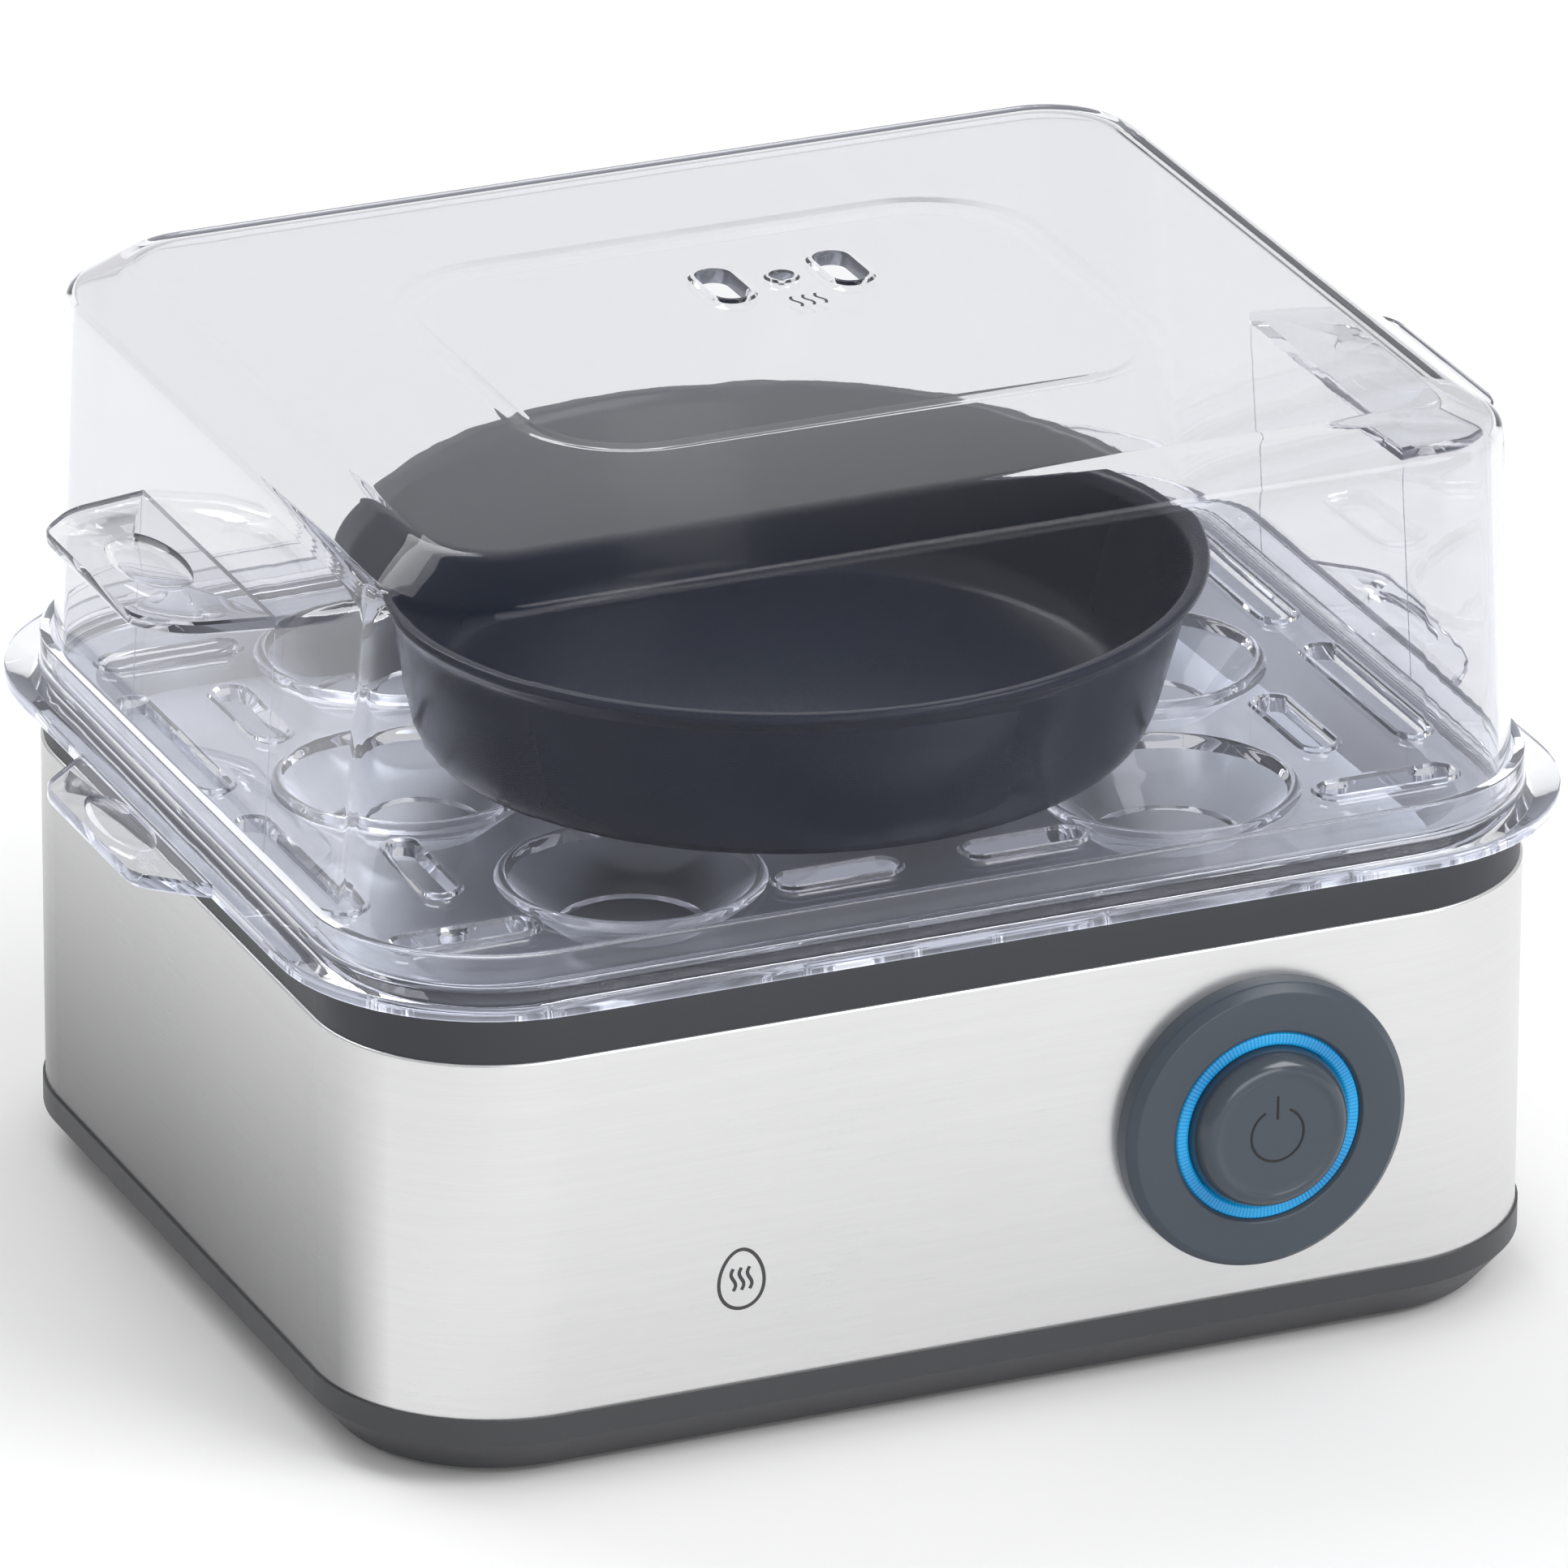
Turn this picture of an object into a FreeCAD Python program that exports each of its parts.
import FreeCAD, Part
import math
import os
import Sketcher

# Electric egg cooker: a brushed steel housing with a dark base and collar, a heated water pan,
# a clear egg tray with eight cups, a dark cooking bowl and a clear steam lid.
# Millimetres. +Z is up, +X runs along the long side, the button is on the -Y face, and the
# origin is on the surface that the feet stand on, under the middle of the body.

DIMENSIONS = [
    # housing
    ("body_width", 236.0),
    ("body_depth", 198.4),
    ("body_corner", 33.8),
    ("sleeve_height", 69.3),
    ("sleeve_wall", 0.8),
    ("assembly_gap", 0.3),
    ("foot_proud", 1.5),
    ("foot_recess", 1.0),
    ("foot_radius", 8.0),
    ("base_height", 12.0),
    ("base_band", 5.0),
    ("base_inset", 6.0),
    ("base_overhang", 0.5),
    ("base_floor", 2.5),
    ("base_wall", 2.4),
    ("base_lip", 6.0),
    ("base_lip_wall", 1.6),
    ("boss_inset_x", 38.0),
    ("boss_inset_y", 37.2),
    ("boss_radius", 5.0),
    ("screw_radius", 1.5),
    ("screw_head_radius", 3.0),
    ("screw_head_height", 2.4),
    ("screw_hole_gap", 0.2),
    ("screw_grip", 12.0),
    ("screw_bite", 8.0),
    # collar, gasket and water pan
    ("collar_height", 11.4),
    ("collar_inset", 0.5),
    ("collar_wall", 3.0),
    ("collar_skirt", 8.0),
    ("shelf_drop", 4.0),
    ("shelf_thick", 2.5),
    ("shelf_width", 6.4),
    ("gasket_thick", 1.0),
    ("gasket_width", 5.0),
    ("pan_wall", 1.2),
    ("pan_lip", 7.0),
    ("pan_depth", 9.0),
    ("pan_taper", 5.0),
    ("standoff_radius", 4.0),
    ("standoff_length", 10.2),
    ("stud_radius", 2.0),
    ("stud_length", 9.0),
    ("stud_gap", 0.2),
    ("stud_side", 60.0),
    ("stud_front", 45.0),
    # heating parts
    ("spreader_width", 146.0),
    ("spreader_depth", 110.0),
    ("spreader_corner", 20.0),
    ("spreader_thick", 2.5),
    ("nut_radius", 4.0),
    ("nut_height", 3.2),
    ("element_radius", 38.0),
    ("element_tube", 3.25),
    ("element_sweep", 300.0),
    ("element_leg", 10.0),
    ("element_gap", 0.1),
    ("terminal_radius", 1.5),
    ("terminal_length", 8.0),
    ("thermostat_radius", 8.0),
    ("thermostat_height", 9.0),
    ("strap_thick", 1.0),
    ("strap_width", 12.0),
    ("strap_step", 51.0),
    ("strap_end", 66.0),
    ("cutout_radius", 2.5),
    ("cutout_length", 14.0),
    ("cutout_x", -24.0),
    ("cutout_y", 16.0),
    # mains parts on the base floor and the rear wall
    ("block_x", -58.0),
    ("block_y", 60.0),
    ("block_width", 30.0),
    ("block_depth", 16.0),
    ("block_height", 12.0),
    ("block_screw_radius", 2.0),
    ("block_screw_height", 1.0),
    ("block_pitch", 8.0),
    ("lug_radius", 4.0),
    ("lug_thick", 1.0),
    ("lug_y", 30.0),
    ("wire_radius", 1.1),
    ("wire_bend", 6.0),
    ("wire_low", 3.0),
    ("wire_high", 8.5),
    ("wire_cross_y", -20.0),
    ("gland_x", -58.0),
    ("gland_height", 18.0),
    ("gland_bore", 3.5),
    ("gland_neck", 5.8),
    ("gland_flange", 9.0),
    ("gland_nose", 6.5),
    ("gland_step", 2.5),
    ("gland_proud", 9.0),
    ("gland_inner", 8.0),
    ("gland_gap", 0.2),
    # push button, bezel and switch
    ("button_x", 53.0),
    ("bezel_radius", 28.0),
    ("bezel_face", 27.0),
    ("bezel_proud", 5.0),
    ("bezel_edge", 1.5),
    ("bezel_bore", 18.3),
    ("barrel_wall", 1.5),
    ("barrel_length", 13.2),
    ("barrel_gap", 0.2),
    ("ring_nut_radius", 25.0),
    ("ring_nut_height", 5.0),
    ("ring_nut_gap", 0.05),
    ("light_gap", 0.1),
    ("light_width", 2.35),
    ("light_recess", 0.5),
    ("light_depth", 5.7),
    ("light_tail", 7.8),
    ("light_tail_wall", 0.8),
    ("cap_gap", 0.25),
    ("cap_proud", 9.0),
    ("cap_edge", 2.6),
    ("cap_wall", 2.0),
    ("cap_top", 4.0),
    ("cap_collar", 1.4),
    ("cap_collar_height", 1.5),
    ("cap_collar_gap", 0.3),
    ("stem_radius", 2.5),
    ("stem_end", 11.0),
    ("travel", 2.5),
    ("board_thick", 1.6),
    ("board_hole", 11.0),
    ("board_gap", 0.3),
    ("led_size", 2.4),
    ("led_height", 1.2),
    ("led_orbit", 14.5),
    ("bracket_thick", 2.5),
    ("bracket_hole", 3.0),
    ("switch_width", 20.0),
    ("switch_height", 14.0),
    ("switch_length", 15.0),
    ("plunger_radius", 1.75),
    ("plunger_gap", 0.1),
    ("plunger_length", 9.0),
    ("spring_radius", 6.5),
    ("spring_wire", 0.4),
    ("spring_pitch", 2.6),
    ("spring_gap", 0.2),
    # egg tray
    ("rest_gap", 0.3),
    ("tray_thick", 2.8),
    ("flange_out", 6.7),
    ("rim_height", 6.7),
    ("rim_wall", 2.0),
    ("skirt_depth", 1.6),
    ("skirt_wall", 1.6),
    ("skirt_gap", 0.5),
    ("tab_root", 33.0),
    ("tab_tip", 22.5),
    ("tray_tab_reach", 18.0),
    ("lid_tab_reach", 17.5),
    ("tab_shoulder", 8.0),
    ("cup_rim", 22.5),
    ("cup_mouth", 13.0),
    ("cup_depth", 10.0),
    ("cup_wall", 1.6),
    ("corner_cup_x", 53.0),
    ("corner_cup_y", 57.0),
    ("side_cup_x", 73.0),
    ("middle_cup_x", 25.0),
    ("slot_half_width", 3.0),
    ("wall_slot_inset", 12.0),
    ("wall_slot_y", 30.0),
    ("wall_slot_length", 46.0),
    ("short_slot_inset", 31.0),
    ("short_slot_y", 39.0),
    ("short_slot_length", 26.0),
    ("edge_slot_inset", 28.7),
    ("end_slot_x", 91.0),
    ("end_slot_length", 27.0),
    ("front_slot_x", 18.5),
    ("front_slot_length", 23.0),
    # cooking bowl
    ("bowl_rim", 79.5),
    ("bowl_foot", 68.5),
    ("bowl_height", 33.4),
    ("bowl_wall", 1.6),
    ("bowl_lip", 2.4),
    ("bowl_lip_thick", 1.8),
    ("bowl_heel", 4.0),
    # steam lid
    ("lid_gap", 1.2),
    ("lid_wall", 2.2),
    ("lid_height", 71.2),
    ("lid_draft_x", 4.2),
    ("lid_draft_y", 1.6),
    ("lid_corner_low", 28.0),
    ("lid_corner_mid", 23.0),
    ("lid_corner_top", 16.0),
    ("lid_rise", 6.9),
    ("lid_run", 9.9),
    ("lid_tab_height", 47.4),
    ("lid_tab_thick", 2.6),
    ("panel_width", 120.0),
    ("panel_depth", 90.0),
    ("panel_corner", 20.0),
    ("panel_sink", 0.8),
    ("vent_centre", 9.8),
    ("vent_side", 11.8),
    ("vent_y", 21.0),
    ("vent_length", 15.0),
    ("vent_half_width", 3.2),
    ("vent_hole", 2.2),
]

doc = FreeCAD.newDocument("egg_cooker")
sheet = doc.addObject("Spreadsheet::Sheet", "dims")
for row, (alias, size) in enumerate(DIMENSIONS, start=1):
    sheet.set(f"A{row}", alias)
    sheet.set(f"B{row}", str(size))
    sheet.setAlias(f"B{row}", alias)
doc.recompute()


ALIASES = [alias for alias, size in DIMENSIONS]


def d(text):
    """Turn the sheet's aliases in an expression into references to the sheet."""
    for alias in ALIASES:
        text = text.replace(f"<{alias}>", f"dims.{alias}")
    return text


def number(text):
    """The value of an expression on the sheet, for first positions and shapes set in code."""
    value = sheet.evalExpression(d(text))
    return float(getattr(value, "Value", value))


# Heights above the surface that the cooker stands on.
FLOOR_Z = "(<foot_proud> + <base_floor>)"
SEAM_Z = "(<foot_proud> + <base_height>)"
STEEL_Z = f"({SEAM_Z} + <sleeve_height>)"
DECK_Z = f"({STEEL_Z} + <collar_height>)"
SHELF_Z = f"({DECK_Z} - <shelf_drop>)"
LIP_Z = f"({SHELF_Z} + <gasket_thick>)"
PAN_TOP_Z = f"({LIP_Z} + <pan_wall>)"
PAN_FLOOR_Z = f"({PAN_TOP_Z} - <pan_depth>)"
PAN_UNDER_Z = f"({PAN_FLOOR_Z} - <pan_wall>)"
STANDOFF_Z = f"({PAN_UNDER_Z} - <standoff_length>)"
SPREADER_Z = f"({PAN_UNDER_Z} - <spreader_thick>)"
ELEMENT_Z = f"({SPREADER_Z} - <element_tube> - <element_gap>)"
THERMOSTAT_Z = f"({SPREADER_Z} - <thermostat_height>)"
TRAY_UNDER_Z = f"({DECK_Z} + <rest_gap>)"
TRAY_Z = f"({TRAY_UNDER_Z} + <tray_thick>)"
LID_Z = f"({TRAY_Z} + <rest_gap>)"
SHOULDER_Z = f"({LID_Z} + <lid_height>)"
LID_TOP_Z = f"({SHOULDER_Z} + <lid_rise>)"
BUTTON_Z = f"({SEAM_Z} + <sleeve_height> / 2)"

# Insets from the body's outline, seen from above.
SLEEVE_INSIDE = "(<sleeve_wall> + <assembly_gap>)"
REBATE = "(<collar_inset> + <collar_wall>)"
SHELF_EDGE = f"({REBATE} + <shelf_width>)"
PAN_EDGE = f"({REBATE} + <assembly_gap>)"
BASIN = f"({PAN_EDGE} + <pan_lip>)"
LID_INSET = "(<rim_wall> + <lid_gap>)"


def new_body(label):
    body = doc.addObject("PartDesign::Body", label)
    body.Label = label
    return body


def origin_plane(body, role):
    return next(plane for plane in body.Origin.OriginFeatures if plane.Role == role)


def attach(body, item, height="0", role="XY_Plane"):
    """Lay a sketch or a primitive on one of the body's own planes, lifted by an expression."""
    item.AttachmentSupport = [(origin_plane(body, role), "")]
    item.MapMode = "FlatFace"
    item.setExpression("AttachmentOffset.Base.z", d(height))


def new_sketch(body, name, height="0", role="XY_Plane"):
    sketch = body.newObject("Sketcher::SketchObject", name)
    attach(body, sketch, height, role)
    return sketch


def bind(sketch, kind, geometry, text):
    """Add one sketch dimension and tie it to the sheet."""
    index = sketch.addConstraint(Sketcher.Constraint(kind, *geometry, number(text)))
    sketch.setExpression(f"Constraints[{index}]", d(text))


def place_point(sketch, geometry, point, x, y):
    """Hold a point at x, y from the sketch's origin, on an axis where the value is 0."""
    if x == "0":
        sketch.addConstraint(Sketcher.Constraint("PointOnObject", geometry, point, -2))
    else:
        bind(sketch, "DistanceX", (-1, 1, geometry, point), x)
    if y == "0":
        sketch.addConstraint(Sketcher.Constraint("PointOnObject", geometry, point, -1))
    else:
        bind(sketch, "DistanceY", (-1, 1, geometry, point), y)


def tangent_chain(sketch, chain):
    """Join the end of each curve to the start of the next, smoothly, and close the loop."""
    for current, following in zip(chain, chain[1:] + chain[:1]):
        sketch.addConstraint(Sketcher.Constraint("Tangent", current, 2, following, 1))


def add_line(sketch, start, end):
    return sketch.addGeometry(Part.LineSegment(FreeCAD.Vector(*start, 0), FreeCAD.Vector(*end, 0)))


def add_arc(sketch, x, y, radius, start, end):
    circle = Part.Circle(FreeCAD.Vector(x, y, 0), FreeCAD.Vector(0, 0, 1), radius)
    return sketch.addGeometry(Part.ArcOfCircle(circle, start, end))


def rounded_rect(sketch, width, depth, radius):
    """A rectangle with rounded corners, centred on the sketch's origin."""
    w, h, r = number(width) / 2, number(depth) / 2, number(radius)
    quarter = math.pi / 2
    bottom = add_line(sketch, (-w + r, -h), (w - r, -h))
    lower_right = add_arc(sketch, w - r, -h + r, r, -quarter, 0)
    right = add_line(sketch, (w, -h + r), (w, h - r))
    upper_right = add_arc(sketch, w - r, h - r, r, 0, quarter)
    top = add_line(sketch, (w - r, h), (-w + r, h))
    upper_left = add_arc(sketch, -w + r, h - r, r, quarter, 2 * quarter)
    left = add_line(sketch, (-w, h - r), (-w, -h + r))
    lower_left = add_arc(sketch, -w + r, -h + r, r, 2 * quarter, 3 * quarter)
    tangent_chain(sketch, [bottom, lower_right, right, upper_right, top, upper_left, left, lower_left])
    for line in (bottom, top):
        sketch.addConstraint(Sketcher.Constraint("Horizontal", line))
    for line in (right, left):
        sketch.addConstraint(Sketcher.Constraint("Vertical", line))
    for corner in (upper_right, upper_left, lower_left):
        sketch.addConstraint(Sketcher.Constraint("Equal", lower_right, corner))
    sketch.addConstraint(Sketcher.Constraint("Symmetric", lower_right, 3, upper_left, 3, -1, 1))
    bind(sketch, "Radius", (lower_right,), radius)
    bind(sketch, "DistanceX", (left, 1, right, 1), width)
    bind(sketch, "DistanceY", (bottom, 1, top, 1), depth)


def outline(sketch, inset):
    """The body's outline, moved inwards by an expression, or outwards where it is negative."""
    rounded_rect(sketch, f"<body_width> - 2 * ({inset})", f"<body_depth> - 2 * ({inset})",
                 f"<body_corner> - ({inset})")


def circle(sketch, x, y, radius):
    centre = FreeCAD.Vector(number(x), number(y), 0)
    ring = sketch.addGeometry(Part.Circle(centre, FreeCAD.Vector(0, 0, 1), number(radius)))
    place_point(sketch, ring, 3, x, y)
    bind(sketch, "Radius", (ring,), radius)


def slot(sketch, x, y, length, half_width, along_x):
    """A slot with round ends, centred on x, y, with its length along X or along Y."""
    cx, cy, r = number(x), number(y), number(half_width)
    run = number(length) / 2 - r
    half_turn = math.pi
    if along_x:
        first = add_arc(sketch, cx - run, cy, r, half_turn / 2, 3 * half_turn / 2)
        low = add_line(sketch, (cx - run, cy - r), (cx + run, cy - r))
        last = add_arc(sketch, cx + run, cy, r, -half_turn / 2, half_turn / 2)
        high = add_line(sketch, (cx + run, cy + r), (cx - run, cy + r))
    else:
        first = add_arc(sketch, cx, cy - run, r, half_turn, 2 * half_turn)
        low = add_line(sketch, (cx + r, cy - run), (cx + r, cy + run))
        last = add_arc(sketch, cx, cy + run, r, 0, half_turn)
        high = add_line(sketch, (cx - r, cy + run), (cx - r, cy - run))
    tangent_chain(sketch, [first, low, last, high])
    sketch.addConstraint(Sketcher.Constraint("Equal", first, last))
    bind(sketch, "Radius", (first,), half_width)
    sketch.addConstraint(Sketcher.Constraint("Horizontal" if along_x else "Vertical", low))
    run_text = f"(({length}) / 2 - ({half_width}))"
    if along_x:
        place_point(sketch, first, 3, f"{x} - {run_text}", y)
        bind(sketch, "DistanceX", (first, 3, last, 3), f"2 * {run_text}")
    else:
        place_point(sketch, first, 3, x, f"{y} - {run_text}")
        bind(sketch, "DistanceY", (first, 3, last, 3), f"2 * {run_text}")


def polygon(sketch, points):
    """A closed outline of straight edges through points given as pairs of expressions."""
    places = [(number(x), number(y)) for x, y in points]
    edges = [add_line(sketch, start, end) for start, end in zip(places, places[1:] + places[:1])]
    for edge, following in zip(edges, edges[1:] + edges[:1]):
        sketch.addConstraint(Sketcher.Constraint("Coincident", edge, 2, following, 1))
    for edge, (x, y) in zip(edges, points):
        place_point(sketch, edge, 1, x, y)


def pad(body, name, sketch, length, down=False):
    feature = body.newObject("PartDesign::Pad", name)
    feature.Profile = sketch
    feature.setExpression("Length", d(length))
    feature.Reversed = down
    return feature


def pocket(body, name, sketch, length, up=False):
    feature = body.newObject("PartDesign::Pocket", name)
    feature.Profile = sketch
    feature.setExpression("Length", d(length))
    feature.Reversed = up
    return feature


def loft(body, name, kind, sketches):
    feature = body.newObject(f"PartDesign::{kind}Loft", name)
    feature.Profile = sketches[0]
    feature.Sections = sketches[1:]
    feature.Ruled = True
    return feature


def layer(body, name, inset, height, thickness, hole=None):
    """A flat layer on the body's outline, as a ring where a hole's inset is given."""
    sketch = new_sketch(body, f"{name}_sketch", height)
    outline(sketch, inset)
    if hole is not None:
        outline(sketch, hole)
    return pad(body, name, sketch, thickness)


def clearing(body, name, inset, height, depth, up=False):
    """Cut the body's outline, inset, downwards or upwards from a height."""
    sketch = new_sketch(body, f"{name}_sketch", height)
    outline(sketch, inset)
    return pocket(body, name, sketch, depth, up)


def turned(label, points):
    """A piece turned about its own Z axis from a half section in its XZ plane."""
    body = new_body(label)
    sketch = new_sketch(body, f"{label}_section", role="XZ_Plane")
    polygon(sketch, points)
    feature = body.newObject("PartDesign::Revolution", f"{label}_turn")
    feature.Profile = sketch
    feature.ReferenceAxis = (sketch, ["V_Axis"])
    feature.Angle = 360
    return body


def put(item, x="0", y="0", z="0", rotation=None):
    """Place a piece by expressions, after turning it."""
    if rotation is not None:
        item.Placement = FreeCAD.Placement(FreeCAD.Vector(), rotation)
    for axis, text in zip("xyz", (x, y, z)):
        item.setExpression(f"Placement.Base.{axis}", d(text))
    return item


def cylinder(name, radius, height, x="0", y="0", z="0"):
    item = doc.addObject("Part::Cylinder", name)
    item.setExpression("Radius", d(radius))
    item.setExpression("Height", d(height))
    return put(item, x, y, z)


def box(name, size, corner):
    item = doc.addObject("Part::Box", name)
    for side, text in zip(("Length", "Width", "Height"), size):
        item.setExpression(side, d(text))
    return put(item, *corner)


def group(label, pieces):
    """Separate solids that share one node."""
    item = doc.addObject("Part::Compound", label)
    item.Label = label
    item.Links = pieces
    return item


def labelled(item, label):
    item.Label = label
    return item


def four_corners(x, y):
    return [(f"{sx} * {x}", f"{sy} * {y}") for sx in (-1, 1) for sy in (-1, 1)]


BOSS_PLACES = four_corners("(<body_width> / 2 - <boss_inset_x>)", "(<body_depth> / 2 - <boss_inset_y>)")
STUD_PLACES = [("<stud_side>", "0"), ("-1 * <stud_side>", "0"),
               ("0", "<stud_front>"), ("0", "-1 * <stud_front>")]
CUP_PLACES = four_corners("<corner_cup_x>", "<corner_cup_y>")
CUP_PLACES += [(f"{side} * {x}", "0") for side in (-1, 1) for x in ("<side_cup_x>", "<middle_cup_x>")]
OUTWARD = FreeCAD.Rotation(FreeCAD.Vector(1, 0, 0), 90)
REARWARD = FreeCAD.Rotation(FreeCAD.Vector(1, 0, 0), -90)


# Base moulding: a shallow tub with a raised band, a lip inside the sleeve and four tall screw bosses.
def base_moulding():
    body = new_body("base_moulding")
    under = new_sketch(body, "base_under", "<foot_proud>")
    outline(under, "<base_inset> - <base_overhang>")
    band_foot = new_sketch(body, "base_band_foot", f"{SEAM_Z} - <base_band>")
    outline(band_foot, "-1 * <base_overhang>")
    loft(body, "base_bevel", "Additive", [under, band_foot])
    layer(body, "base_band_layer", "-1 * <base_overhang>", f"{SEAM_Z} - <base_band>", "<base_band>")
    layer(body, "base_lip_layer", SLEEVE_INSIDE, SEAM_Z, "<base_lip>")
    inside = f"{SLEEVE_INSIDE} + <base_lip_wall>"
    clearing(body, "base_room", inside, f"{SEAM_Z} + <base_lip>", "<base_lip> + <base_band>")
    top = new_sketch(body, "base_well_top", f"{SEAM_Z} - <base_band>")
    outline(top, inside)
    low = new_sketch(body, "base_well_floor", FLOOR_Z)
    outline(low, "<base_inset> + <base_wall>")
    loft(body, "base_well", "Subtractive", [top, low])
    bosses = new_sketch(body, "base_bosses", FLOOR_Z)
    bores = new_sketch(body, "base_bores", "<foot_proud>")
    wells = new_sketch(body, "base_screw_wells", "<foot_proud>")
    recesses = new_sketch(body, "base_foot_recesses", "<foot_proud>")
    for x, y in BOSS_PLACES:
        circle(bosses, x, y, "<boss_radius>")
        circle(bores, x, y, "<screw_radius> + <screw_hole_gap>")
        circle(wells, x, y, "<screw_head_radius> + <screw_hole_gap>")
        circle(recesses, x, y, "<foot_radius> + <screw_hole_gap>")
    boss_top = f"({STANDOFF_Z} - <assembly_gap>)"
    pad(body, "boss_pads", bosses, f"{boss_top} - {FLOOR_Z}")
    pocket(body, "boss_bores", bores, f"{boss_top} - <foot_proud>", up=True)
    pocket(body, "boss_wells", wells, f"{boss_top} - <screw_grip> - <foot_proud>", up=True)
    pocket(body, "foot_recesses", recesses, "<foot_recess>", up=True)
    return body


def rubber_feet():
    height = "<foot_proud> + <foot_recess>"
    feet = [cylinder(f"foot_{i}", "<foot_radius>", height, x, y) for i, (x, y) in enumerate(BOSS_PLACES)]
    return group("rubber_feet", feet)


def base_screws():
    """Four long screws that pull the pan, collar and sleeve down on the base."""
    seat = f"({STANDOFF_Z} - <assembly_gap> - <screw_grip>)"
    screws = []
    for i, (x, y) in enumerate(BOSS_PLACES):
        head = cylinder(f"screw_head_{i}", "<screw_head_radius>", "<screw_head_height>",
                        x, y, f"{seat} - <screw_head_height>")
        shank = cylinder(f"screw_shank_{i}", "<screw_radius>",
                         "<screw_grip> + <assembly_gap> + <screw_bite>", x, y, seat)
        screw = doc.addObject("Part::Fuse", f"screw_{i}")
        screw.Base = head
        screw.Tool = shank
        screws.append(screw)
    return group("base_screws", screws)


def steel_sleeve():
    body = new_body("steel_sleeve")
    layer(body, "sleeve_wall_layer", "0", SEAM_Z, "<sleeve_height>", hole="<sleeve_wall>")
    front = new_sketch(body, "sleeve_button_hole", role="XZ_Plane")
    circle(front, "<button_x>", BUTTON_Z, "<bezel_bore> + <barrel_wall> + <barrel_gap>")
    pocket(body, "sleeve_button_cut", front, "<body_depth>", up=True)
    rear = new_sketch(body, "sleeve_gland_hole", role="XZ_Plane")
    circle(rear, "<gland_x>", f"{SEAM_Z} + <gland_height>", "<gland_neck> + <gland_gap>")
    pocket(body, "sleeve_gland_cut", rear, "<body_depth>")
    return body


# Collar: a dark ring on the sleeve's top edge, with a skirt inside it and a shelf for the pan.
def upper_collar():
    body = new_body("upper_collar")
    layer(body, "collar_band", "<collar_inset>", STEEL_Z, "<collar_height>")
    layer(body, "collar_skirt_layer", SLEEVE_INSIDE, f"{STEEL_Z} - <collar_skirt>", "<collar_skirt>")
    clearing(body, "collar_rebate", REBATE, DECK_Z, "<shelf_drop>")
    clearing(body, "collar_opening", SHELF_EDGE, SHELF_Z, "<shelf_thick>")
    clearing(body, "collar_under", REBATE, f"{STEEL_Z} - <collar_skirt>",
             f"{SHELF_Z} - <shelf_thick> - ({STEEL_Z} - <collar_skirt>)", up=True)
    return body


def pan_gasket():
    body = new_body("pan_gasket")
    layer(body, "gasket_ring", PAN_EDGE, SHELF_Z, "<gasket_thick>", hole=f"{PAN_EDGE} + <gasket_width>")
    return body


# Water pan: a shallow basin with a flat lip, studs for the heating parts and threaded standoffs.
def water_pan():
    body = new_body("water_pan")
    layer(body, "pan_lip_layer", PAN_EDGE, LIP_Z, "<pan_wall>")
    mouth = new_sketch(body, "pan_mouth", LIP_Z)
    outline(mouth, BASIN)
    under = new_sketch(body, "pan_under", PAN_UNDER_Z)
    outline(under, f"{BASIN} + <pan_taper>")
    loft(body, "pan_shell", "Additive", [mouth, under])
    inner_mouth = new_sketch(body, "pan_inner_mouth", PAN_TOP_Z)
    outline(inner_mouth, f"{BASIN} + <pan_wall>")
    inner_floor = new_sketch(body, "pan_inner_floor", PAN_FLOOR_Z)
    outline(inner_floor, f"{BASIN} + <pan_taper> + <pan_wall>")
    loft(body, "pan_basin", "Subtractive", [inner_mouth, inner_floor])
    studs = new_sketch(body, "pan_studs", PAN_UNDER_Z)
    for x, y in STUD_PLACES:
        circle(studs, x, y, "<stud_radius>")
    pad(body, "stud_pads", studs, "<stud_length>", down=True)
    standoffs = new_sketch(body, "pan_standoffs", PAN_UNDER_Z)
    pilots = new_sketch(body, "pan_pilots", STANDOFF_Z)
    for x, y in BOSS_PLACES:
        circle(standoffs, x, y, "<standoff_radius>")
        circle(pilots, x, y, "<screw_radius> + <screw_hole_gap>")
    pad(body, "standoff_pads", standoffs, "<standoff_length>", down=True)
    pocket(body, "standoff_pilots", pilots, "<screw_bite> + <assembly_gap>", up=True)
    return body


def heat_spreader():
    body = new_body("heat_spreader")
    plate = new_sketch(body, "spreader_plate", SPREADER_Z)
    rounded_rect(plate, "<spreader_width>", "<spreader_depth>", "<spreader_corner>")
    for x, y in STUD_PLACES:
        circle(plate, x, y, "<stud_radius> + <stud_gap>")
    pad(body, "spreader_pad", plate, "<spreader_thick>")
    return body


def stud_nuts():
    """A nut on each stud: two clamp the thermostat's strap, two bear on the spreader."""
    nuts = []
    for i, (x, y) in enumerate(STUD_PLACES):
        top = SPREADER_Z if x == "0" else f"({SPREADER_Z} - <strap_thick>)"
        prism = doc.addObject("Part::Prism", f"nut_blank_{i}")
        prism.Polygon = 6
        prism.setExpression("Circumradius", d("<nut_radius>"))
        prism.setExpression("Height", d("<nut_height>"))
        put(prism, x, y, f"{top} - <nut_height>")
        bore = cylinder(f"nut_bore_{i}", "<stud_radius> + <stud_gap> / 2", "<nut_height>",
                        x, y, f"{top} - <nut_height>")
        nut = doc.addObject("Part::Cut", f"nut_{i}")
        nut.Base = prism
        nut.Tool = bore
        nuts.append(nut)
    return group("stud_nuts", nuts)


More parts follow.
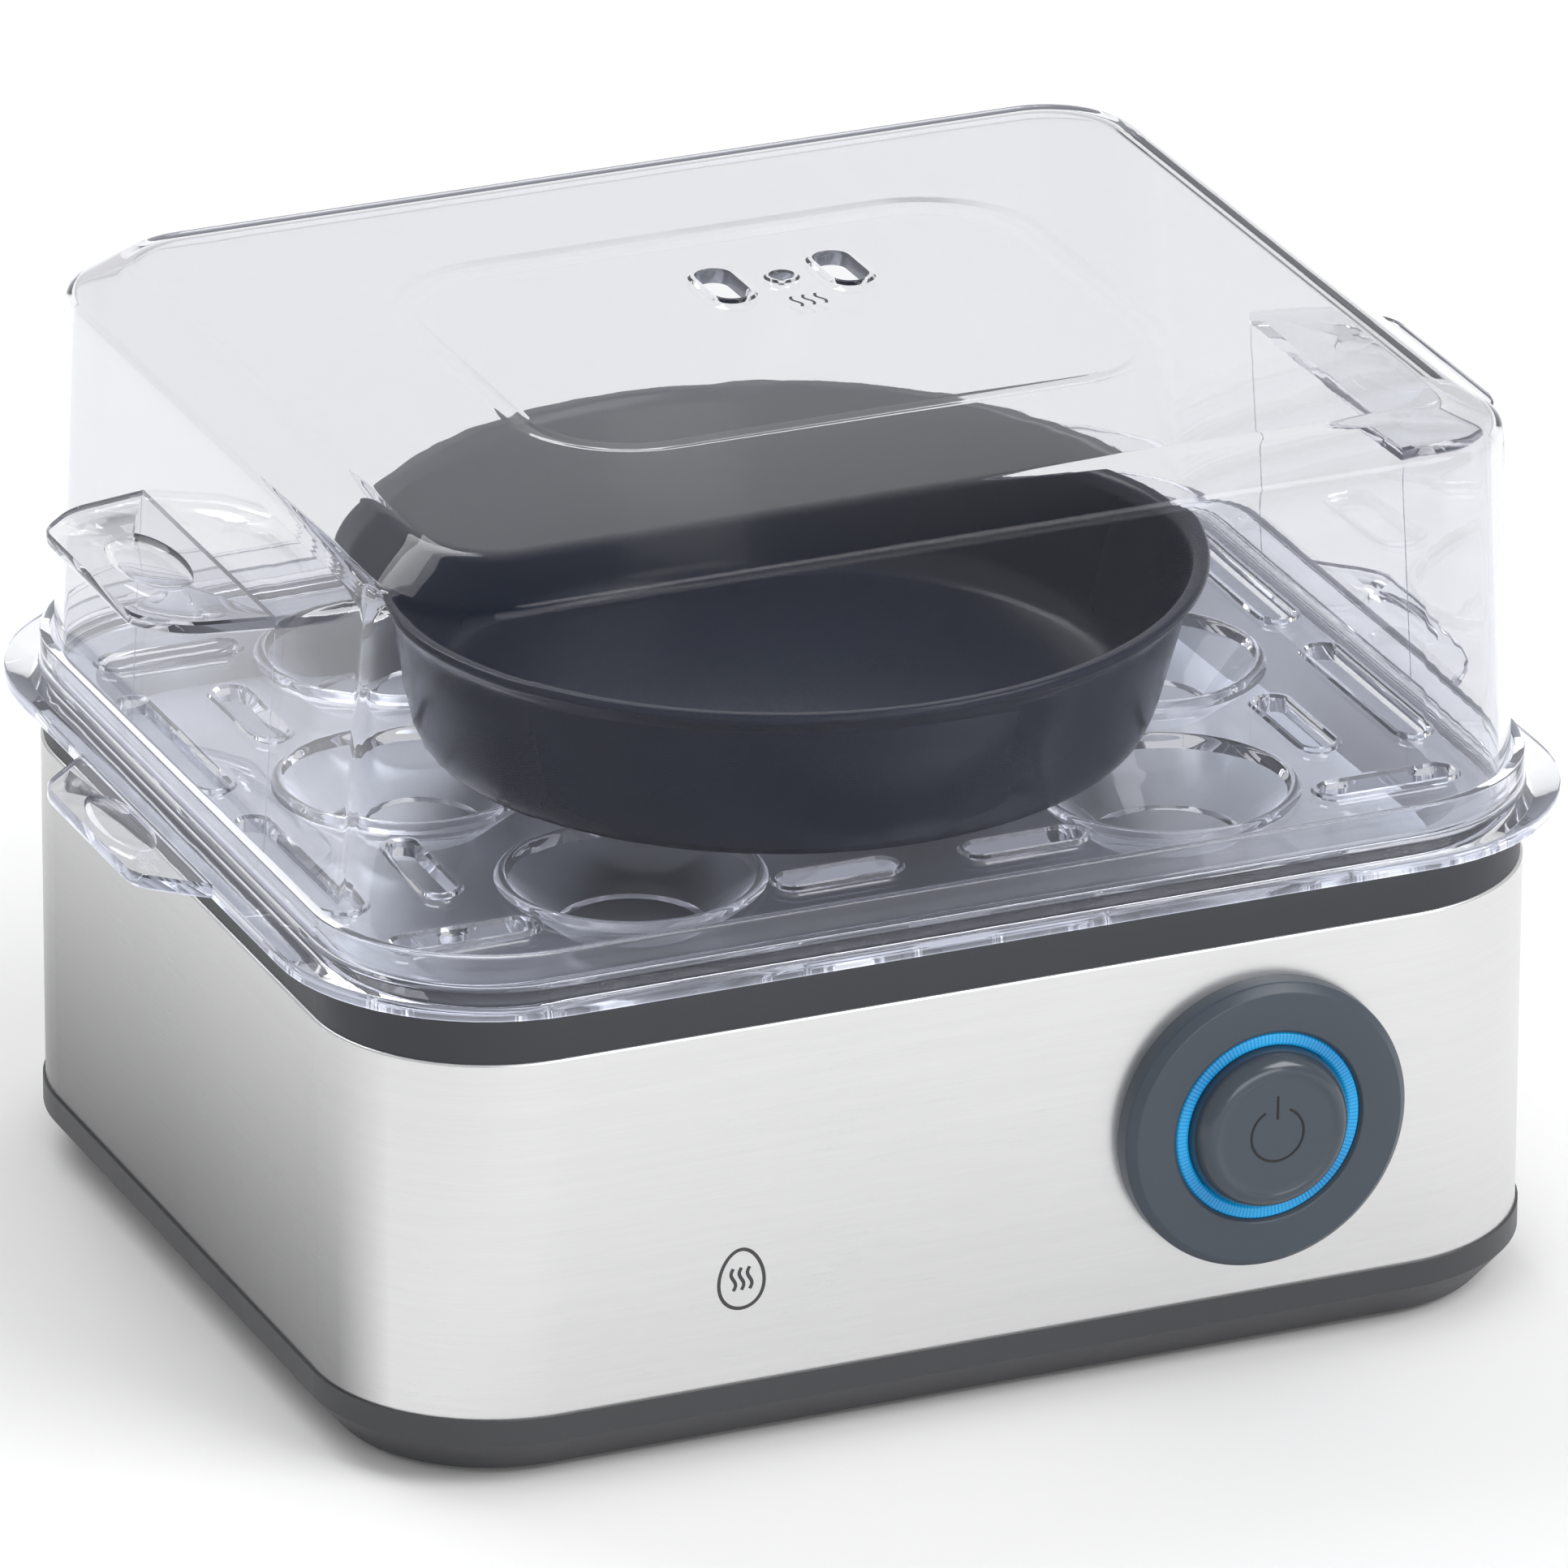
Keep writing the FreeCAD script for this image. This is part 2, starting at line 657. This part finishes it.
def element_ends():
    """Where the heater's two legs come down, either side of the gap at its front."""
    half_gap = "(360 - <element_sweep>) / 2"
    x = f"<element_radius> * sin({half_gap})"
    y = f"-1 * <element_radius> * cos({half_gap})"
    return [(x, y), (f"-1 * {x}", y)]


# Heating element: a horseshoe of sheathed tube under the spreader, with two legs turned down.
def heating_element():
    ring = doc.addObject("Part::Torus", "element_ring")
    ring.setExpression("Radius1", d("<element_radius>"))
    ring.setExpression("Radius2", d("<element_tube>"))
    ring.setExpression("Angle3", d("<element_sweep>"))
    ring.setExpression("Placement.Rotation.Angle", d("-90 + (360 - <element_sweep>) / 2"))
    put(ring, z=ELEMENT_Z)
    pieces = [ring]
    for i, (x, y) in enumerate(element_ends()):
        elbow = doc.addObject("Part::Sphere", f"element_elbow_{i}")
        elbow.setExpression("Radius", d("<element_tube>"))
        pieces.append(put(elbow, x, y, ELEMENT_Z))
        pieces.append(cylinder(f"element_leg_{i}", "<element_tube>", "<element_leg>",
                               x, y, f"{ELEMENT_Z} - <element_leg>"))
    element = doc.addObject("Part::MultiFuse", "heating_element")
    element.Shapes = pieces
    return labelled(element, "heating_element")


def element_terminals():
    low = f"{ELEMENT_Z} - <element_leg> - <terminal_length>"
    pins = [cylinder(f"terminal_{i}", "<terminal_radius>", "<terminal_length>", x, y, low)
            for i, (x, y) in enumerate(element_ends())]
    return group("element_terminals", pins)


def thermostat():
    disc = cylinder("thermostat_disc", "<thermostat_radius>", "<thermostat_height>", z=THERMOSTAT_Z)
    return labelled(disc, "thermostat")


# Strap: bears on the spreader at two studs and steps down to hold the thermostat's back.
def thermostat_strap():
    body = new_body("thermostat_strap")
    section = new_sketch(body, "strap_section", role="XZ_Plane")
    low, high = f"({THERMOSTAT_Z} - <strap_thick>)", f"({SPREADER_Z} - <strap_thick>)"
    inner = "(<strap_step> - <strap_thick>)"
    right = [("<strap_step>", low), ("<strap_step>", high), ("<strap_end>", high),
             ("<strap_end>", SPREADER_Z), (inner, SPREADER_Z), (inner, THERMOSTAT_Z)]
    left = [(f"-1 * {x}", z) for x, z in reversed(right)]
    polygon(section, right + left)
    strip = body.newObject("PartDesign::Pad", "strap_pad")
    strip.Profile = section
    strip.setExpression("Length", d("<strap_width>"))
    strip.Midplane = True
    holes = new_sketch(body, "strap_holes", SPREADER_Z)
    for x in ("<stud_side>", "-1 * <stud_side>"):
        circle(holes, x, "0", "<stud_radius> + <stud_gap>")
    pocket(body, "strap_hole_cut", holes, "2 * <strap_thick>")
    return body


def thermal_cutout():
    fuse = doc.addObject("Part::Cylinder", "cutout_can")
    fuse.setExpression("Radius", d("<cutout_radius>"))
    fuse.setExpression("Height", d("<cutout_length>"))
    put(fuse, "<cutout_x>", "<cutout_y>", f"{SPREADER_Z} - <cutout_radius> - <element_gap>",
        FreeCAD.Rotation(FreeCAD.Vector(0, 1, 0), 90))
    return labelled(fuse, "thermal_cutout")


def terminal_block():
    corner = ("<block_x> - <block_width> / 2", "<block_y> - <block_depth> / 2", FLOOR_Z)
    block = box("block_box", ("<block_width>", "<block_depth>", "<block_height>"), corner)
    return labelled(block, "terminal_block")


def terminal_screws():
    heads = [cylinder(f"block_screw_{i + 1}", "<block_screw_radius>", "<block_screw_height>",
                      f"<block_x> + {i} * <block_pitch>", "<block_y>", f"{FLOOR_Z} + <block_height>")
             for i in (-1, 0, 1)]
    return group("terminal_screws", heads)


def earth_lug():
    lug = cylinder("lug_disc", "<lug_radius>", "<lug_thick>", "<block_x> - <block_pitch>", "<lug_y>",
                   f"{SPREADER_Z} - <lug_thick>")
    return labelled(lug, "earth_lug")


def wire_tube(points, radius, bend):
    """A tube along straight runs joined by tangent arcs."""
    places = [FreeCAD.Vector(*[number(text) for text in point]) for point in points]
    edges = []
    start = places[0]
    for corner, after in zip(places[1:-1], places[2:]):
        into = (corner - start).normalize()
        out = (after - corner).normalize()
        arc_in = corner - into * bend
        arc_out = corner + out * bend
        middle = corner + (out - into) * bend * (1 - math.sqrt(0.5))
        edges.append(Part.LineSegment(start, arc_in).toShape())
        edges.append(Part.Arc(arc_in, middle, arc_out).toShape())
        start = arc_out
    edges.append(Part.LineSegment(start, places[-1]).toShape())
    heading = (places[1] - places[0]).normalize()
    ring = Part.Wire(Part.Circle(places[0], heading, radius).toShape())
    return Part.Wire(edges).makePipeShell([ring], True, False)


# Wires: block to switch, switch to one element leg, block to the other leg, block to the earth lug.
def internal_wires():
    (right_x, leg_y), (left_x, same_y) = element_ends()
    block_face = "<block_y> - <block_depth> / 2"
    low, high = f"{FLOOR_Z} + <wire_low>", f"{FLOOR_Z} + <wire_high>"
    switch_y = "-1 * <body_depth> / 2 + <barrel_length> + <bracket_thick> + <switch_length>"
    switch_left, switch_right = "<button_x> - <switch_width> / 4", "<button_x> + <switch_width> / 4"
    leg_z = f"{ELEMENT_Z} - <element_leg> - <terminal_length>"
    earth_x = "<block_x> - <block_pitch>"
    live_x, neutral_x = "<block_x>", "<block_x> + <block_pitch>"
    cross = "<wire_cross_y>"
    routes = [
        [(live_x, block_face, low), (live_x, cross, low), (switch_left, cross, low),
         (switch_left, cross, BUTTON_Z), (switch_left, switch_y, BUTTON_Z)],
        [(switch_right, switch_y, BUTTON_Z), (switch_right, leg_y, BUTTON_Z),
         (right_x, leg_y, BUTTON_Z), (right_x, leg_y, leg_z)],
        [(neutral_x, block_face, high), (neutral_x, "<wire_bend> * 2", high),
         (left_x, "<wire_bend> * 2", high), (left_x, same_y, high), (left_x, same_y, leg_z)],
        [(earth_x, block_face, low), (earth_x, "<lug_y>", low),
         (earth_x, "<lug_y>", f"{SPREADER_Z} - <lug_thick>")],
    ]
    tubes = [wire_tube(route, number("<wire_radius>"), number("<wire_bend>")) for route in routes]
    wires = doc.addObject("Part::Feature", "internal_wires")
    wires.Shape = Part.makeCompound(tubes)
    wires.Placement = FreeCAD.Placement()
    return labelled(wires, "internal_wires")


# Cord gland: a bush through the rear wall, with a flange outside and a tapering nose.
def cord_gland():
    body = turned("cord_gland", [
        ("<gland_bore>", "-1 * <gland_inner>"), ("<gland_neck>", "-1 * <gland_inner>"), ("<gland_neck>", "0"),
        ("<gland_flange>", "0"), ("<gland_flange>", "<gland_step>"), ("<gland_nose>", "<gland_step> + 1"),
        ("<gland_nose>", "<gland_proud>"), ("<gland_bore>", "<gland_proud>")])
    return put(body, "<gland_x>", "<body_depth> / 2", f"{SEAM_Z} + <gland_height>", REARWARD)


# The button group is turned about one axis through the front wall: local Z points out of the wall.
def at_button(item):
    return put(item, "<button_x>", "-1 * <body_depth> / 2", BUTTON_Z, OUTWARD)


BARREL = "(<bezel_bore> + <barrel_wall>)"
LIGHT_OUT = "(<bezel_bore> - <light_gap>)"
LIGHT_IN = f"({LIGHT_OUT} - <light_width>)"
LIGHT_FRONT = "(<bezel_proud> - <light_recess>)"
LIGHT_BACK = f"({LIGHT_FRONT} - <light_depth>)"
LIGHT_TAIL = f"({LIGHT_BACK} - <light_tail>)"
CAP = f"({LIGHT_IN} - <cap_gap>)"
CAP_COLLAR_Z = f"({LIGHT_BACK} - <cap_collar_gap>)"
CAP_COLLAR_LOW = f"({CAP_COLLAR_Z} - <cap_collar_height>)"
CAP_INSIDE_Z = "(<cap_proud> - <cap_top>)"
BOARD_FRONT = f"({LIGHT_TAIL} - <board_gap>)"


def button_bezel():
    body = turned("button_bezel", [
        ("<bezel_bore>", "-1 * <barrel_length>"), (BARREL, "-1 * <barrel_length>"), (BARREL, "0"),
        ("<bezel_radius>", "0"), ("<bezel_radius>", "<bezel_proud> - <bezel_edge>"),
        ("<bezel_face>", "<bezel_proud>"), ("<bezel_bore>", "<bezel_proud>")])
    return at_button(body)


def bezel_ring_nut():
    inner, back = f"{BARREL} + <ring_nut_gap>", "-1 * <sleeve_wall>"
    low = f"{back} - <ring_nut_height>"
    body = turned("bezel_ring_nut", [
        (inner, low), ("<ring_nut_radius>", low), ("<ring_nut_radius>", back), (inner, back)])
    return at_button(body)


def light_ring():
    tail_in = f"{LIGHT_OUT} - <light_tail_wall>"
    body = turned("light_ring", [
        (LIGHT_IN, LIGHT_FRONT), (LIGHT_IN, LIGHT_BACK), (tail_in, LIGHT_BACK), (tail_in, LIGHT_TAIL),
        (LIGHT_OUT, LIGHT_TAIL), (LIGHT_OUT, LIGHT_FRONT)])
    return at_button(body)


def button_cap():
    collar = f"{CAP} + <cap_collar>"
    hollow = f"{CAP} - <cap_wall>"
    stem_z = "-1 * <stem_end>"
    body = turned("button_cap", [
        ("0", "<cap_proud>"), (f"{CAP} - <cap_edge>", "<cap_proud>"), (CAP, "<cap_proud> - <cap_edge>"),
        (CAP, CAP_COLLAR_Z), (collar, CAP_COLLAR_Z), (collar, CAP_COLLAR_LOW), (hollow, CAP_COLLAR_LOW),
        (hollow, CAP_INSIDE_Z), ("<stem_radius>", CAP_INSIDE_Z), ("<stem_radius>", stem_z), ("0", stem_z)])
    return at_button(body)


def led_board():
    board_out = f"{LIGHT_OUT} - <light_gap>"
    low = f"{BOARD_FRONT} - <board_thick>"
    body = turned("led_board", [
        ("<board_hole>", low), (board_out, low), (board_out, BOARD_FRONT), ("<board_hole>", BOARD_FRONT)])
    return at_button(body)


def leds():
    lamps = []
    for i, (x, z) in enumerate(((1, 0), (0, 1), (-1, 0), (0, -1))):
        corner = (f"<button_x> + {x} * <led_orbit> - <led_size> / 2",
                  f"-1 * <body_depth> / 2 - {BOARD_FRONT} - <led_height>",
                  f"{BUTTON_Z} + {z} * <led_orbit> - <led_size> / 2")
        lamps.append(box(f"led_{i}", ("<led_size>", "<led_height>", "<led_size>"), corner))
    return group("leds", lamps)


def switch_bracket():
    front, back = "-1 * <barrel_length>", "-1 * <barrel_length> - <bracket_thick>"
    body = turned("switch_bracket", [
        ("<bracket_hole>", back), (BARREL, back), (BARREL, front), ("<bracket_hole>", front)])
    return at_button(body)


def switch_body():
    body = new_body("switch_body")
    front = "-1 * <barrel_length> - <bracket_thick>"
    case = new_sketch(body, "switch_case", front)
    rounded_rect(case, "<switch_width>", "<switch_height>", "<plunger_radius>")
    pad(body, "switch_pad", case, "<switch_length>", down=True)
    bore = new_sketch(body, "switch_bore", front)
    circle(bore, "0", "0", "<plunger_radius> + <plunger_gap>")
    pocket(body, "switch_bore_cut", bore,
           f"<stem_end> + <plunger_length> + <travel> + <rest_gap> + {front}")
    return at_button(body)


def switch_plunger():
    low, high = "-1 * <stem_end> - <plunger_length>", "-1 * <stem_end>"
    body = turned("switch_plunger", [
        ("0", low), ("<plunger_radius>", low), ("<plunger_radius>", high), ("0", high)])
    return at_button(body)


def button_spring():
    """A coil between the bracket and the inside of the cap."""
    low = "(<spring_gap> + <spring_wire> - <barrel_length>)"
    rise = number(f"{CAP_INSIDE_Z} - <spring_gap> - <spring_wire> - {low}")
    radius, wire = number("<spring_radius>"), number("<spring_wire>")
    helix = Part.makeHelix(number("<spring_pitch>"), rise, radius)
    start = FreeCAD.Vector(radius, 0, 0)
    ring = Part.Wire(Part.Circle(start, FreeCAD.Vector(0, 1, 0), wire).toShape())
    spring = doc.addObject("Part::Feature", "button_spring")
    spring.Shape = Part.Wire(helix.Edges).makePipeShell([ring], True, True)
    put(spring, "<button_x>", f"-1 * <body_depth> / 2 - {low}", BUTTON_Z, OUTWARD)
    return labelled(spring, "button_spring")


def tab_pair(body, name, height, thickness, root_x, reach_x):
    """Finger tabs on both ends: wide at the root, stepping in to a blunt tip."""
    sketch = new_sketch(body, f"{name}_sketch", height)
    step = f"({reach_x} - <tab_shoulder>)"
    for side in (1, -1):
        points = [(root_x, "-1 * <tab_root>"), (step, "-1 * <tab_root> + 3"), (reach_x, "-1 * <tab_tip>"),
                  (reach_x, "<tab_tip>"), (step, "<tab_root> - 3"), (root_x, "<tab_root>")]
        polygon(sketch, [(f"{side} * ({x})", y) for x, y in points])
    return pad(body, name, sketch, thickness)


# Egg tray: one clear moulding with a flange, a rim round the lid, eight open cups and steam slots.
def egg_tray():
    body = new_body("egg_tray")
    layer(body, "tray_plate", "-1 * <flange_out>", TRAY_UNDER_Z, "<tray_thick>")
    tab_pair(body, "tray_tabs", TRAY_UNDER_Z, "<tray_thick>", "<body_width> / 2 - <rim_wall>",
             "(<body_width> / 2 + <tray_tab_reach>)")
    layer(body, "tray_rim", "0", TRAY_Z, "<rim_height>", hole="<rim_wall>")
    skirt = f"({REBATE} + <skirt_gap>)"
    layer(body, "tray_skirt", skirt, f"{TRAY_UNDER_Z} - <skirt_depth>", "<skirt_depth>",
          hole=f"{skirt} + <skirt_wall>")
    cup_low = f"({TRAY_Z} - <cup_depth>)"
    for i, (x, y) in enumerate(CUP_PLACES):
        cup_cone(body, f"cup_shell_{i}", "Additive", x, y, cup_low, "<cup_mouth> + <cup_wall>",
                 "<cup_rim> + <cup_wall>")
    for i, (x, y) in enumerate(CUP_PLACES):
        cup_cone(body, f"cup_hollow_{i}", "Subtractive", x, y, cup_low, "<cup_mouth>", "<cup_rim>")
    slots = new_sketch(body, "tray_slots", TRAY_Z)
    for x, y in four_corners("(<body_width> / 2 - <wall_slot_inset>)", "<wall_slot_y>"):
        slot(slots, x, y, "<wall_slot_length>", "<slot_half_width>", along_x=False)
    for x, y in four_corners("(<body_width> / 2 - <short_slot_inset>)", "<short_slot_y>"):
        slot(slots, x, y, "<short_slot_length>", "<slot_half_width>", along_x=False)
    edge_y = "(<body_depth> / 2 - <edge_slot_inset>)"
    for x, y in four_corners("<end_slot_x>", edge_y):
        slot(slots, x, y, "<end_slot_length>", "<slot_half_width>", along_x=True)
    for x, y in four_corners("<front_slot_x>", edge_y):
        slot(slots, x, y, "<front_slot_length>", "<slot_half_width>", along_x=True)
    pocket(body, "tray_slot_cut", slots, "<tray_thick>")
    return body


def cup_cone(body, name, kind, x, y, low, mouth, rim):
    cone = body.newObject(f"PartDesign::{kind}Cone", name)
    cone.setExpression("Radius1", d(mouth))
    cone.setExpression("Radius2", d(rim))
    cone.setExpression("Height", d("<cup_depth>"))
    attach(body, cone, low)
    cone.setExpression("AttachmentOffset.Base.x", d(x))
    cone.setExpression("AttachmentOffset.Base.y", d(y))


def cooking_bowl():
    side = "(<bowl_rim> - <bowl_lip>)"
    lip_z = "(<bowl_height> - <bowl_lip_thick>)"
    body = turned("cooking_bowl", [
        ("0", "0"), ("<bowl_foot> - <bowl_heel>", "0"), ("<bowl_foot>", "<bowl_heel>"), (side, lip_z),
        ("<bowl_rim>", lip_z), ("<bowl_rim>", "<bowl_height>"), (f"{side} - <bowl_wall>", "<bowl_height>"),
        ("<bowl_foot> - <bowl_wall>", "<bowl_heel> + <bowl_wall> / 2"),
        ("<bowl_foot> - <bowl_heel> - <bowl_wall> / 2", "<bowl_wall>"), ("0", "<bowl_wall>")])
    return put(body, z=LID_Z)


# Steam lid: a clear cover with drafted walls, a sloping shoulder, finger tabs and steam vents.
def lid_section(body, name, height, draft, run, corner, wall):
    """The lid's outline at a height: draft is the share of the wall's lean, run the shoulder's."""
    sketch = new_sketch(body, name, height)
    lean_x = f"({LID_INSET} + {draft} * <lid_draft_x> + {run} * <lid_run> + {wall} * <lid_wall>)"
    lean_y = f"({LID_INSET} + {draft} * <lid_draft_y> + {run} * <lid_run> + {wall} * <lid_wall>)"
    rounded_rect(sketch, f"<body_width> - 2 * {lean_x}", f"<body_depth> - 2 * {lean_y}",
                 f"{corner} - {wall} * <lid_wall>")
    return sketch


def steam_lid():
    body = new_body("steam_lid")
    low = lid_section(body, "lid_low", LID_Z, 0, 0, "<lid_corner_low>", 0)
    shoulder = lid_section(body, "lid_shoulder", SHOULDER_Z, 1, 0, "<lid_corner_mid>", 0)
    loft(body, "lid_walls", "Additive", [low, shoulder])
    step = lid_section(body, "lid_shoulder_foot", SHOULDER_Z, 1, 0, "<lid_corner_mid>", 0)
    top = lid_section(body, "lid_top", LID_TOP_Z, 1, 1, "<lid_corner_top>", 0)
    loft(body, "lid_slope", "Additive", [step, top])
    in_low = lid_section(body, "lid_in_low", LID_Z, 0, 0, "<lid_corner_low>", 1)
    in_mid = lid_section(body, "lid_in_mid", f"{SHOULDER_Z} - <lid_wall> / 2", 1, 0, "<lid_corner_mid>", 1)
    loft(body, "lid_room", "Subtractive", [in_low, in_mid])
    in_step = lid_section(body, "lid_in_step", f"{SHOULDER_Z} - <lid_wall> / 2", 1, 0, "<lid_corner_mid>", 1)
    in_top = lid_section(body, "lid_in_top", f"{LID_TOP_Z} - <lid_wall>", 1, 1, "<lid_corner_top>", 1)
    loft(body, "lid_room_slope", "Subtractive", [in_step, in_top])
    side_x = f"(<body_width> / 2 - {LID_INSET} - <lid_draft_x> * <lid_tab_height> / <lid_height>)"
    tab_pair(body, "lid_tabs", f"{LID_Z} + <lid_tab_height>", "<lid_tab_thick>", f"{side_x} - <lid_wall> / 2",
             "(<body_width> / 2 + <lid_tab_reach>)")
    panel = new_sketch(body, "lid_panel", LID_TOP_Z)
    rounded_rect(panel, "<panel_width>", "<panel_depth>", "<panel_corner>")
    pocket(body, "lid_panel_sink", panel, "<panel_sink>")
    vents = new_sketch(body, "lid_vents", LID_TOP_Z)
    for side in (-1, 1):
        slot(vents, f"<vent_centre> + {side} * <vent_side>", "<vent_y>", "<vent_length>", "<vent_half_width>",
             along_x=False)
    circle(vents, "<vent_centre>", "<vent_y>", "<vent_hole>")
    pocket(body, "lid_vent_cut", vents, "<lid_wall> * 2")
    return body


SUBPARTS = [
    base_moulding, rubber_feet, base_screws, steel_sleeve, upper_collar, pan_gasket, water_pan,
    heat_spreader, stud_nuts, heating_element, element_terminals, thermostat, thermostat_strap,
    thermal_cutout, terminal_block, terminal_screws, earth_lug, internal_wires, cord_gland,
    button_bezel, bezel_ring_nut, light_ring, led_board, leds, switch_bracket, switch_body,
    button_spring, button_cap, switch_plunger, egg_tray, cooking_bowl, steam_lid,
]

nodes = [make() for make in SUBPARTS]
doc.recompute()

for item in doc.Objects:
    if "Invalid" in item.State or "Error" in item.State:
        raise RuntimeError(f"{item.Label} failed: {item.State}")
for node in nodes:
    if node.Shape.isNull() or not node.Shape.isValid():
        raise RuntimeError(f"{node.Label} has no valid shape")

os.makedirs("parts", exist_ok=True)
for node in nodes:
    node.Shape.exportStep(f"parts/{node.Label}.step")
    print(f"{node.Label}: {len(node.Shape.Solids)} solids, {node.Shape.Volume / 1000:.2f} cm3")
